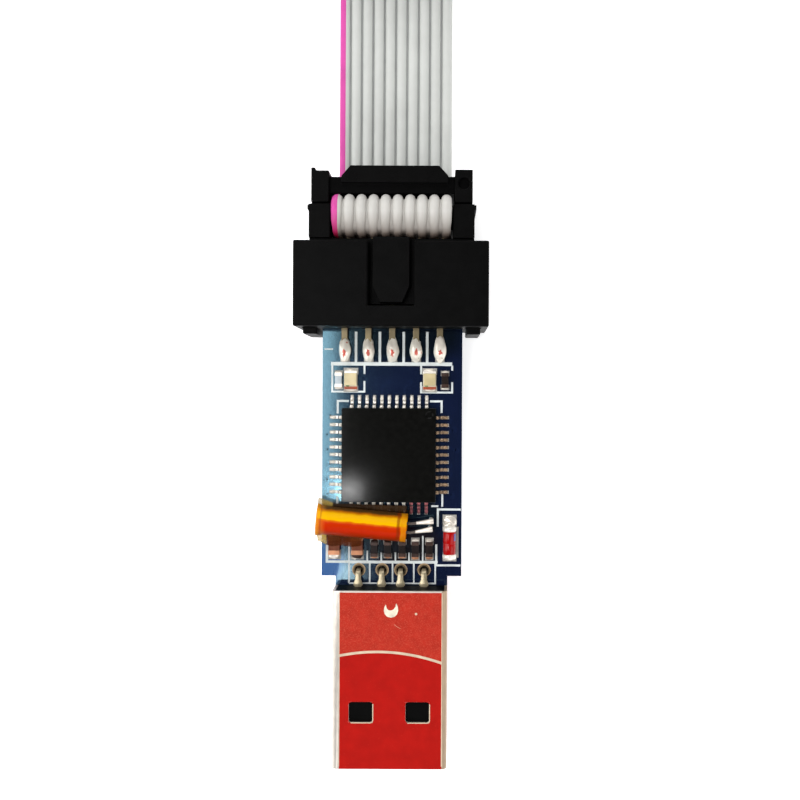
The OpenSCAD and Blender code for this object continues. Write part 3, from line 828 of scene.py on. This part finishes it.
def make_shell_marks():
    """The plug's pale arc line, a raised band with a painted highlight; the paler painted red reflection
    behind it;
    painted highlights along the face's edges and on two edges of each punched window; the crescent and two
    scuffs.
    """
    bm = bmesh.new()
    sunk = PLUG_TOP - 0.02
    skin = PLUG_TOP + 0.012
    pale, paler_reflection, scuff, dark, lacquer, stamped = (0, 1, 3, 4, 5, 6)
    xs = [FACE_LEFT + (FACE_RIGHT - FACE_LEFT) * i / 24 for i in range(25)]
    arc = [(x, arc_y(x)) for x in xs]
    # Painted reflection: the paler red behind the arc line.
    prism(bm, arc + [(FACE_RIGHT, Y_BOARD - 0.17), (FACE_LEFT, Y_BOARD - 0.17)], sunk, skin, paler_reflection)
    band(bm, arc, 0.26, sunk, skin + 0.02, pale)
    # Painted highlights along the red face's side edges.
    edge = FACE_LEFT - 0.02
    band(bm, [(edge, arc_y(FACE_LEFT)), (edge, Y_BOARD - 0.15)], 0.07, sunk, skin + 0.006, pale)
    for x, y, width in ((FACE_RIGHT, Y_BOARD - 0.15, 0.09), (FACE_LEFT, arc_y(FACE_LEFT), 0.07)):
        band(bm, [(x, Y_TIP + 0.3), (x, y)], width, PLUG_TOP - 0.03, skin + 0.004, pale)
    for s in (-1, 1):
        x0, x1 = [s * WINDOW_X + side * WINDOW_HALF[0] for side in (-1, 1)]
        y0, y1 = [WINDOW_Y + side * WINDOW_HALF[1] for side in (-1, 1)]
        window_corners(bm, x0, y0, x1, y1, 0.3, PLUG_TOP - 0.28, PLUG_TOP, lacquer)
        # Painted highlights on the right and tip-side edges of each window, which face the light.
        edge = [(x0 + 0.2, y0 - 0.01), (x1 - 0.26, y0 - 0.01), (x1 - 0.06, y0 + 0.06), (x1 + 0.01, y0 + 0.26),
                (x1 + 0.01, y1 - 0.2)]
        band(bm, edge, 0.1, PLUG_TOP - 0.03, skin + 0.01, pale)
    crescent = [(-0.56, 0.64), (-0.7, 0.34), (-0.75, 0.0), (-0.66, -0.38), (-0.4, -0.64), (0.0, -0.74),
                (0.36, -0.65), (0.62, -0.4), (0.74, -0.02), (0.7, 0.38), (0.52, 0.76), (0.46, 0.4),
                (0.26, 0.12), (0.0, 0.0), (-0.26, 0.04), (-0.44, 0.2), (-0.5, 0.42)]
    prism(bm, [(STAMP[0] + x, STAMP[1] + y) for x, y in crescent], sunk, skin + 0.03, stamped)
    ring(bm, (2.76, -15.3), 0.0005, 0.13, sunk, skin + 0.012, pale, n=12)
    band(bm, [(0.5, -16.4), (0.75, -16.62), (1.15, -16.82)], 0.06, sunk, skin + 0.008, scuff)
    zigzag = [(0, Y_TIP + 0.1), (0, -26), (0.9, -25.4), (0.9, -23.6), (0, -23), (0, Y_BOARD - 0.1)]
    band(bm, zigzag, 0.09, PLUG_BACK - 0.012, PLUG_BACK + 0.02, dark)
    finishes = ("pale_marks", "lacquer_matt", "steel", "scuff", "dark", "lacquer", "stamp")
    finish_mesh("plug_shell_marks", bm, finishes, STICK, smooth=30)


def make_usb_contacts():
    """Four contact strips that leave the plug, widen at its back edge and bend down into their holes."""
    z = 6.0
    thick = 0.2
    bend = 0.4
    bend_y = USB_HOLE_Y - 0.35
    bend_z = z - 0.06
    bm = bmesh.new()
    for k, x in enumerate(USB_X):
        front = Y_BOARD - (16 if k in (0, 3) else 15)
        places = [(front, z, 0.5), (front + 0.6, z + 0.02, 0.67), (Y_BOARD, z, 0.67),
                  (Y_BOARD + 0.18, z, 1.0), (Y_BOARD + 0.4, z, 0.94), (Y_BOARD + 0.75, z - 0.03, 0.64),
                  (bend_y, bend_z, 0.58)]
        for i in range(1, 5):
            t = math.radians(90 * i / 4)
            places.append((bend_y + bend * math.sin(t), bend_z - bend * (1 - math.cos(t)), 0.58 - 0.03 * i))
        places += [(USB_HOLE_Y + 0.05, Z_TOP - 0.4, 0.46), (USB_HOLE_Y + 0.05, Z_BACK - 0.5, 0.4)]
        sections = [rounded_bar(width, thick, 0.06, 2) for y, z1, width in places]
        sweep(bm, [Vector((x, y, z1)) for y, z1, width in places], sections, Vector((1, 0, 0)))
    finish_mesh("plug_contact_strips", bm, ("strip",), STICK, ("usb_contacts",), 40,
                outward=True)


def make_usb_joints():
    """Ring pads round the four plug holes, solder in them and cones of it underneath."""
    bm = bmesh.new()
    for i, x in enumerate(USB_X):
        at = (x, USB_HOLE_Y)
        ring(bm, at, USB_HOLE_R - 0.02, 0.62, Z_TOP - 0.1, Z_TOP + 0.03, 3)
        # The outer ring's paler tan is a painted highlight round the pad's edge.
        ring(bm, at, 0.6, 0.72, Z_TOP - 0.02, Z_TOP + 0.05, 0)
        ring(bm, at, USB_HOLE_R - 0.02, 0.85, Z_BACK - 0.035, Z_BACK + 0.1, 0)
        blob(bm, (x, USB_HOLE_Y, Z_TOP - 0.55), (0.44, 0.44, 0.16), 3 + i, 2, 0.2)
        blob(bm, (x, USB_HOLE_Y, Z_BACK), (0.62, 0.62, 0.75), 9 + i, 1, 0.12, roof=Z_BACK + 0.02)
    finish_joints("plug_joints", bm, "ring_pad", "solder", "dark", "ring_inner")


# ---- flat packs


def lead_face(f):
    """The steep stretch of a gull lead is duller than its shoulder and foot. The right row is warmer and the
    three leads next to the diode are pinkish, both painted reflections."""
    middle = f.calc_center_median()
    if 0.1 < abs(f.normal.z) < 0.9:
        return 1
    if middle.y < MCU_Y - 5 and middle.x > MCU_X + 2:
        return 3
    return 2 if middle.x > MCU_X + 5 else 0


def make_flat_packs():
    for part in ("mcu", "bridge"):
        softened(part + "_body", part + "_package", ("epoxy",), STICK, "chip_plastic", 0.06)
    for part, finishes in (("mcu", ("tin", "wire", "tin_warm", "tin_pink")), ("bridge", ("tin", "wire"))):
        softened(part + "_leads", part + "_gull_leads", finishes, STICK, "tinned_metal", 0.03, 2, lead_face)


def make_lead_joints():
    """A pad under every lead, and the solder that wets its toe."""
    bm = bmesh.new()
    for turn in range(4):
        c = (1, 0, -1, 0)[turn]
        s = (0, 1, 0, -1)[turn]
        for i, along in enumerate(MCU_ROW):
            def put(x, y):
                return MCU_X + c * x - s * y, MCU_Y + s * x + c * y

            near, far = MCU_PAD
            left = along - PAD_HALF
            right = along + PAD_HALF
            corners = ((near, left), (far, left), (far, right), (near, right))
            prism(bm, [put(*corner) for corner in corners], Z_TOP + 0.001, Z_TOP + 0.03)
            size = (0.36, 0.2) if s == 0 else (0.2, 0.36)
            # The right row's joints are painted warmer and three bottom ones pinker, painted reflections as
            # on their leads.
            solder = 2 if turn == 0 else 3 if turn == 3 and i > 7 else 1
            toe = (*put(6.02, along), Z_TOP + 0.05)
            blob(bm, toe, (*size, 0.24), 20 * turn + i, solder, 0.25, Z_TOP, fine=2)
            shoulder = (*put(5.12, along), Z_TOP + 0.56)
            blob(bm, shoulder, (0.21, 0.21, 0.16), 9 * turn + i, solder, 0.2, fine=2)
    for side in (-1, 1):
        for i, along in enumerate(BRIDGE_ROW):
            y = BRIDGE_Y + along
            add_pad(bm, sorted((side * 3.25, side * 4.3)), (y - 0.19, y + 0.19), Z_BACK, -1)
            blob(bm, (side * 3.95, y, Z_BACK - 0.04), (0.34, 0.18, 0.2), 90 + i, 1, 0.25, roof=Z_BACK, fine=2)
    finish_joints("lead_joints", bm, "pad", "solder", "tin_warm", "tin_pink")


# ---- chip parts


def chip(node, name, body_key, lip=0.5, under=False, seed=1, ends="tin", low_joint="solder",
         high_joint="solder", glint=False):
    """A chip part: glazed body, wrapped metal ends, and the solder fillets and pads under them."""
    low, high = box(node)
    cap = (high.y - low.y) * 0.24
    bm = bmesh.new()
    inner = cap * 0.8
    add_box(bm, (low.x + 0.03, low.y + inner, low.z + 0.02), (high.x - 0.03, high.y - inner, high.z - 0.03))
    add_box(bm, low, (high.x, low.y + cap, high.z), 1)
    add_box(bm, (low.x, high.y - cap, low.z), high, 1)
    finish_mesh(name, bm, (body_key, ends), STICK, (node,), bevel=0.05)
    bm = bmesh.new()
    face = high.z if under else low.z
    limits = {"roof": face} if under else {"floor": face}
    size = ((high.x - low.x) * 0.5, lip * 0.6, (high.z - low.z) * 0.62)
    for s, y in ((-1, low.y), (1, high.y)):
        reach = sorted((y + s * lip * 0.75, y - s * cap * 0.9))
        add_pad(bm, (low.x - 0.06, high.x + 0.06), reach, face, -1 if under else 1)
        blob(bm, ((low.x + high.x) / 2, y + s * 0.05, face), size, seed + s, 1 if s < 0 else 2, 0.3, **limits)
    if glint:
        blob(bm, (low.x + 0.3, low.y - 0.4, face + 0.1), (0.24, 0.24, 0.2), seed, 2, 0.3, floor=face)
    finish_joints(name + "_joints", bm, "pad", low_joint, high_joint)


def make_chips():
    chip("big_capacitor_1", "large_cap_left", "ceramic", 0.8, seed=3, ends="tin_tan")
    chip("big_capacitor_2", "large_cap_right", "ceramic", 0.8, seed=5, ends="tin_tan",
         low_joint="tin_dull", glint=True)
    for i in range(1, 6):
        upper = "solder" if i > 3 else "tin_dull"
        lip = 0.55 if i > 3 else 0.3
        chip(f"row_chip_{i}", f"small_chip_{i}", "glaze", lip, False, 10 + i, "tin_dull",
             "tin_tan", upper)
    for i in range(1, 4):
        chip(f"back_chip_{i}", f"under_chip_{i}", "glaze", 0.34, under=True, seed=20 + i)
    # The left resistor's pale glaze is a painted reflection of the window light on its top.
    for side, key, seed, ends in (("left", "glaze_pale", 31, "tin"), ("right", "glaze", 33, "tin_dull")):
        node = "led_resistor_" + side
        chip(node, "lamp_resistor_" + side, key, 0.3, seed=seed, ends=ends)


def make_lamp(node, name, seed):
    """An indicator: cream carrier, clear lens over it, amber resin and a green mark at its plug end."""
    low, high = box(node)
    x = (low.x + high.x) / 2
    low.x -= 0.08
    high.x += 0.08
    bm = bmesh.new()
    add_box(bm, (low.x, low.y + 0.3, low.z), (high.x, high.y - 0.3, low.z + 0.36), 0)
    add_box(bm, (low.x + 0.02, low.y, low.z), (high.x - 0.02, low.y + 0.34, low.z + 0.3), 2)
    add_box(bm, (low.x + 0.02, high.y - 0.34, low.z), (high.x - 0.02, high.y, low.z + 0.3), 4)
    add_box(bm, (low.x + 0.07, low.y + 0.42, low.z + 0.34), (high.x - 0.07, high.y - 0.28, high.z), 1)
    add_box(bm, (x - 0.5, low.y + 0.3, low.z + 0.3), (x - 0.15, low.y + 0.45, low.z + 0.42), 3)
    finishes = ("lamp_body", "lamp_lens", "lamp_amber", "lamp_green", "tin")
    finish_mesh(name, bm, finishes, STICK, (node,), bevel=0.06, segments=3)
    bm = bmesh.new()
    for s, y in ((-1, low.y), (1, high.y)):
        add_pad(bm, (low.x - 0.08, high.x + 0.08), sorted((y + s * 0.3, y - s * 0.4)), Z_TOP)
        blob(bm, (x, y, Z_TOP), (0.6, 0.26, 0.26), seed + s, 1, 0.3, floor=Z_TOP)
    finish_joints(name + "_joints", bm, "pad", "solder")


def make_diode():
    """Glass diode: red glass grooved round its middle, a blue mark, two rounded metal caps, and its pads."""
    low, high = box("diode_caps")
    x = (low.x + high.x) / 2
    z = (low.z + high.z) / 2
    along = Vector((0, 1, 0))
    bm = bmesh.new()
    glass = [(0.5, 0.62), (0.6, 0.67), (1.62, 0.67), (1.68, 0.645), (1.74, 0.67), (2.9, 0.67), (3.0, 0.62)]
    lathe(bm, glass, Vector((x, low.y, z)), along, 32)
    finish_mesh("diode_glass_tube", bm, ("glass",), STICK, ("diode_glass",), smooth=50)
    bm = bmesh.new()
    turns = [math.radians(a) for a in range(-8, 50, 6)]
    outer, inner = [[polar((x, z), r, t) for t in turns] for r in (0.685, 0.66)]
    outline = outer + inner[::-1]
    tube(bm, [[bm.verts.new((px, low.y + y, pz)) for px, pz in outline] for y in (2.0, 2.75)])
    finish_mesh("diode_cathode_mark", bm, ("band",), STICK, smooth=50, outward=True)
    bm = bmesh.new()
    cap = [(0.0, 0.5), (0.04, 0.64), (0.12, 0.73), (0.42, 0.74), (0.5, 0.7), (0.55, 0.64)]
    lathe(bm, cap, Vector((x, low.y, z)), along)
    lathe(bm, cap, Vector((x, high.y, z)), -along)
    finish_mesh("diode_end_caps", bm, ("tin",), STICK, ("diode_caps",), smooth=50)
    bm = bmesh.new()
    for x0, x1, y0, y1, thick in ((-0.72, 0.76, 6.25, 7.6, 0.035), (0.45, 0.98, 3.0, 6.3, 0.034),
                                  (-0.72, 0.76, 2.6, 3.4, 0.035)):
        add_pad(bm, (x + x0, x + x1), (Y_BOARD + y0, Y_BOARD + y1), Z_TOP, thick=thick)
    for i, (side, y, size, uneven) in enumerate((
            (0, 6.95, (0.72, 0.62, 0.2), 0.35), (-0.05, 6.45, (0.62, 0.42, 0.5), 0.3),
            (0, 2.95, (0.6, 0.34, 0.45), 0.3))):
        blob(bm, (x + side, Y_BOARD + y, Z_TOP), size, 40 + i, 1, uneven, floor=Z_TOP)
    finish_joints("diode_joints", bm, "pad", "solder")


# ---- crystal

CAN_X = -3.1
CAN_Y = Y_BOARD + 6.8
CAN_Z = Z_TOP + 1.55
CAN_TURN = math.radians(-5)
CAN_L = 8.0
TAPE_R = 1.5
TAPE_L = 9.6
WIRE_STRAIGHT = 1.2
WIRE_BENT = 2.2
WIRE_BEND = (14.5, 11.5)


def on_can(t, across, up):
    """A place given along the can's axis, across it (towards the header) and up."""
    c = math.cos(CAN_TURN)
    s = math.sin(CAN_TURN)
    return Vector((CAN_X + t * c - across * s, CAN_Y + t * s + across * c, CAN_Z + up))


def tape_ring(t, r, n):
    """One ring of the wrap: round on the can, pinched flat and creased past its closed end."""
    past = max(0.0, -(t + CAN_L / 2 - 0.25)) / (TAPE_L / 2 - CAN_L / 2 + 0.25)
    points = []
    for i in range(n):
        a = math.tau * i / n
        crease = 0.03 * noise.noise(Vector((t * 0.9, 2.2 * math.cos(a), 2.2 * math.sin(a))))
        crease += 0.16 * past * noise.noise(Vector((t * 2.6 + 4, 4 * math.cos(a), 4 * math.sin(a))))
        across = (r + crease) * math.cos(a) * (1 + 0.12 * past)
        up = (r + crease) * math.sin(a) * (1 - 0.55 * past) - 0.25 * past
        points.append(on_can(t, across, up))
    return points


def shifted(tree, socket):
    """A distance along the wrap, -0.5 to 0.5, as 0 to 1."""
    shift = add_node(tree, "Math")
    shift.operation = "ADD"
    feed(tree, shift.inputs[0], socket)
    shift.inputs[1].default_value = 0.5
    return shift.outputs["Value"]


def paint_tape():
    """Amber film on bright metal, with the can's reflection painted into it: gold on the half towards the
    header, orange-red on the other, and painted shade in brown where the wrap turns down. Paler bands cross
    its two ends, and darker ones lie over the can's two ends."""
    tree = M["tape"].node_tree
    turned = add_node(tree, "Mapping", Vector=in_place(tree), Location=Vector((CAN_X, CAN_Y, CAN_Z)) * MM,
                  Rotation=(0, 0, CAN_TURN), Scale=(TAPE_L * MM, 2 * TAPE_R * MM, 2 * TAPE_R * MM))
    turned.vector_type = "TEXTURE"
    warp = add_node(tree, "VectorMath")
    warp.operation = "MULTIPLY_ADD"
    for socket, value in zip(warp.inputs, (noise_node(tree, 0.9).outputs["Color"], (0.03, 0.09, 0),
                                           turned.outputs["Vector"])):
        feed(tree, socket, value)
    split = add_node(tree, "SeparateXYZ", Vector=warp.outputs["Vector"])
    along, across = [shifted(tree, split.outputs[axis]) for axis in "XY"]
    painted_reflection = ramp(
        tree, across, (0.04, linear(84, 38, 8)), (0.14, linear(140, 36, 4)), (0.3, linear(180, 34, 0)),
        (0.56, linear(190, 44, 0)), (0.62, linear(208, 100, 0)), (0.66, linear(232, 176, 0)),
        (0.86, linear(226, 168, 0)), (0.93, linear(176, 100, 4)), (0.99, linear(72, 48, 20)))
    ends = ramp(tree, along, (0.015, grey(0.9)), (0.06, grey(0.35)), (0.14, grey(0)), (0.945, grey(0)),
                (0.96, grey(0.75)), (0.99, grey(0.6)))
    can_end_bands = ramp(tree, along, (0.055, grey(0)), (0.07, grey(0.5)), (0.09, grey(0)), (0.9, grey(0)),
                 (0.915, grey(0.7)), (0.935, grey(0.7)), (0.95, grey(0)))
    paint = mixed(tree, can_end_bands, mixed(tree, ends, painted_reflection, linear(206, 134, 6)), linear(120, 40, 2))
    feed(tree, tree.nodes["Principled BSDF"].inputs["Base Color"], paint)


def make_tape():
    """The amber film wound round the can, open at the wire end and pinched past the closed end."""
    n = 48
    steps = 40
    bm = bmesh.new()
    rings = []
    for k in range(steps + 1):
        t = -TAPE_L / 2 + TAPE_L * k / steps
        rings.append([bm.verts.new(p) for p in tape_ring(t, TAPE_R, n)])
    for k in (steps, steps - 3, 3, 0):
        t = -TAPE_L / 2 + TAPE_L * k / steps
        rings.append([bm.verts.new(p) for p in tape_ring(t, TAPE_R - 0.07, n)])
    rings.append(rings[0])
    for r0, r1 in zip(rings, rings[1:]):
        for i in range(n):
            bm.faces.new((r0[i], r0[(i + 1) % n], r1[(i + 1) % n], r1[i]))
    finish_mesh("crystal_wrap", bm, ("tape",), STICK, ("crystal_tape",), smooth=60, outward=True)


def film_sheet(bm, near, far, columns, rows, bulge, pale, index):
    """A thin sheet of film between two lines along the can; near and far give a point for a share of the way.
    pale is the share, from the closed end, where the film is a single clear layer."""
    sheets = []
    for lift in (0.0, 0.05):
        grid = []
        for i in range(columns + 1):
            start = near(i / columns)
            end = far(i / columns)
            row = []
            for j in range(rows + 1):
                k = j / rows
                p = start.lerp(end, k)
                p.z += bulge * math.sin(math.pi * k) + lift
                row.append(bm.verts.new(p))
            grid.append(row)
        sheets.append(grid)
    low, high = sheets
    for i in range(columns):
        for j in range(rows):
            finish = 1 if (i + 0.5) / columns < pale else index
            square = ((i, j), (i, j + 1), (i + 1, j + 1), (i + 1, j))
            bm.faces.new([low[a][b] for a, b in square]).material_index = finish
            bm.faces.new([high[a][b] for a, b in square[:1] + square[:0:-1]]).material_index = finish
    edge = [(i, 0) for i in range(columns)] + [(columns, j) for j in range(rows)]
    edge += [(i, rows) for i in range(columns, 0, -1)] + [(0, j) for j in range(rows, 0, -1)]
    for (i, j), (k, m) in zip(edge, edge[1:] + edge[:1]):
        bm.faces.new((low[i][j], low[k][m], high[k][m], high[i][j]))


def make_tape_flaps():
    """The film's loose end over the large capacitors, and its edge over the microcontroller's lower leads."""
    top = box("big_capacitor_1")[1].z
    bm = bmesh.new()

    def low_near(k):
        return on_can(-TAPE_L / 2 + 0.1 + 4.9 * k, -TAPE_R * 0.88, -0.35)

    def low_far(k):
        t = -TAPE_L / 2 + 0.3 + 4.6 * k
        end = on_can(t, -2.45 + 0.25 * noise.noise(Vector((t * 0.8, 3, 0))) - 0.25 * math.sin(math.pi * k), 0)
        end.z = top + 0.06 + 0.08 * noise.noise(Vector((t * 1.7, 9, 0)))
        return end

    def high_near(k):
        return on_can(-TAPE_L / 2 - 0.05 + 9.4 * k, TAPE_R * 0.88, -0.45)

    def high_far(k):
        t = -TAPE_L / 2 + 9.4 * k
        reach = 1.74 + 0.5 * k + 0.55 * max(0.0, 1 - k / 0.2)
        return on_can(t, reach + 0.05 * noise.noise(Vector((t * 1.2, 5, 0))), -0.42)

    film_sheet(bm, low_near, low_far, 14, 6, 0.12, 0.2, 0)
    film_sheet(bm, high_near, high_far, 24, 4, 0.05, 0.17, 2)
    finishes = ("flap", "flap_pale", "flap_dark")
    finish_mesh("crystal_wrap_flaps", bm, finishes, STICK, smooth=60, outward=True)


def make_crystal_joints():
    """Solder drawn out along the crystal's two wires, and down them to the board."""
    cone = [(0.0, 0.165), (0.3, 0.18), (0.8, 0.22), (1.35, 0.28), (1.7, 0.3), (1.8, 0.27), (1.83, 0.15)]
    bm = bmesh.new()
    for i, side in enumerate((-1, 1)):
        a = math.radians(WIRE_BEND[i])
        bend = on_can(CAN_L / 2 + WIRE_STRAIGHT, side * 0.48, 0.02)
        reach = WIRE_BENT * math.cos(a)
        tip = on_can(CAN_L / 2 + WIRE_STRAIGHT + reach, side * 0.48 + WIRE_BENT * math.sin(a), 0.02)
        along = (tip - bend).normalized()
        lathe(bm, cone, tip - along * 1.62, along, 20)
        blob(bm, (tip.x - 0.08, tip.y, Z_TOP + 0.1), (0.27, 0.25, 1.2), 50 + i, 0, 0.12, floor=Z_TOP)
    finish_joints("crystal_joints", bm, "solder")


# ---- box header


def make_header():
    softened("header_shroud", "header_moulding", ("black",), STICK, "connector_plastic", 0.16, 3)
    for node, row in (("upper", "top"), ("lower", "bottom")):
        softened("header_pins_" + node, f"header_pins_{row}_row", ("gold",), STICK, "contact_metal", 0.05)


def make_pin_joints():
    """Tall solder along each header pin on both sides of the board, on long pads."""
    draw = random.Random(4)
    bm = bmesh.new()
    for i, x in enumerate(PIN_X):
        for face, s in ((Z_TOP, 1), (Z_BACK, -1)):
            y0 = Y_BOARD + 23.95
            add_pad(bm, (x - 0.5, x + 0.5), (y0, Y_BOARD + 26.2), face, s)
            limits = {"floor": face} if s > 0 else {"roof": face}
            length = 1.35 + 0.15 * draw.random()
            lean = 0.08 * (draw.random() - 0.5)
            taper = (0.1, 0.32, 0.34, 0.32, 0.05)[i]
            lump = blob(bm, (x + lean, y0 + length - 0.05, face + s * 0.3), (0.64, length, 0.95),
                        60 + 3 * i + s, 1, 0.2, taper=taper, fine=4, **limits)
            # Painted reflection: a reddish patch on each joint, something red mirrored in the solder.
            reflection_spot = Vector((x + 0.12 * (draw.random() - 0.3), y0 + 0.85 + 0.3 * draw.random()))
            for f in {f for v in lump for f in v.link_faces}:
                off = f.calc_center_median().xy - reflection_spot
                uneven = 1 + 1.2 * noise.noise(Vector((off.x * 6, off.y * 5, i)))
                if off.x ** 2 / 0.035 + off.y ** 2 / 0.11 < uneven:
                    f.material_index = 2
    finish_joints("header_pin_joints", bm, "pad", "solder_pin", "flux")


make_board()
make_traces()
make_legend()
make_shell()
make_shell_marks()
make_usb_contacts()
make_usb_joints()
make_flat_packs()
make_lead_joints()
make_chips()
for side, seed in (("left", 71), ("right", 75)):
    make_lamp("led_" + side, "lamp_" + side, seed)
make_diode()
paint_tape()
make_tape()
make_tape_flaps()
make_crystal_joints()
make_header()
make_pin_joints()
dressed("usb_insulator", "black")
dressed("crystal_can", "steel")
dressed("crystal_leads", "wire")

# ---- floor and light


def make_floor():
    mesh = bpy.data.meshes.new("floor")
    bm = bmesh.new()
    bmesh.ops.create_grid(bm, x_segments=1, y_segments=1, size=1.5)
    bm.to_mesh(mesh)
    bm.free()
    paint = material("floor_paint", grey(0.96), 0.9, 0, 0.1, 0.01, 0.2, 0)
    shader = paint.node_tree.nodes["Principled BSDF"]
    shader.inputs["Emission Color"].default_value = grey(1)
    shader.inputs["Emission Strength"].default_value = 0.5
    mesh.materials.append(paint)
    obj = bpy.data.objects.new("floor", mesh)
    bpy.context.scene.collection.objects.link(obj)


def soft_light(name, at, size, power, aim=(0, 0, 5), colour=(1, 1, 1)):
    data = bpy.data.lights.new(name, "AREA")
    data.shape = "RECTANGLE"
    data.size = size[0] * MM
    data.size_y = size[1] * MM
    data.energy = power
    data.color = colour
    obj = bpy.data.objects.new(name, data)
    obj.location = Vector(at) * MM
    obj.rotation_euler = (Vector(aim) - Vector(at)).to_track_quat("-Z", "Y").to_euler()
    bpy.context.scene.collection.objects.link(obj)


def make_world():
    """Even light round the horizon that fades towards the zenith, so flat dark faces stay dark from above."""
    world = bpy.data.worlds.new("world")
    world.use_nodes = True
    tree = world.node_tree
    split = add_node(tree, "SeparateXYZ", Vector=add_node(tree, "TexCoord").outputs["Generated"])
    sky = ramp(tree, split.outputs["Z"], (0.0, grey(1)), (0.3, grey(0.55)), (0.72, grey(0.05)))
    feed(tree, tree.nodes["Background"].inputs["Color"], sky)
    tree.nodes["Background"].inputs["Strength"].default_value = 1.1
    bpy.context.scene.world = world


make_floor()
make_world()
soft_light("left_window", (-211, 5, 560), (270, 200), 1.3, aim=(-211, 5, 0))
soft_light("corner_window", (-64, -60, 560), (9.5, 9.5), 0.044, aim=(-64, -60, 0))
soft_light("low_window", (-68, -122, 560), (14, 22), 0.02, aim=(-68, -122, 0), colour=(1, 0.8, 0.76))
soft_light("low_sky", (-100, -116, 560), (44, 32), 0.009, aim=(-100, -116, 0), colour=(0.2, 0.5, 1))
soft_light("left_box", (-500, -40, 330), (300, 400), 1.4)
soft_light("far_box", (-60, 520, 420), (700, 300), 2.0)
soft_light("right_box", (430, -160, 400), (400, 400), 1.1)
soft_light("near_box", (60, -480, 380), (500, 260), 1.0)
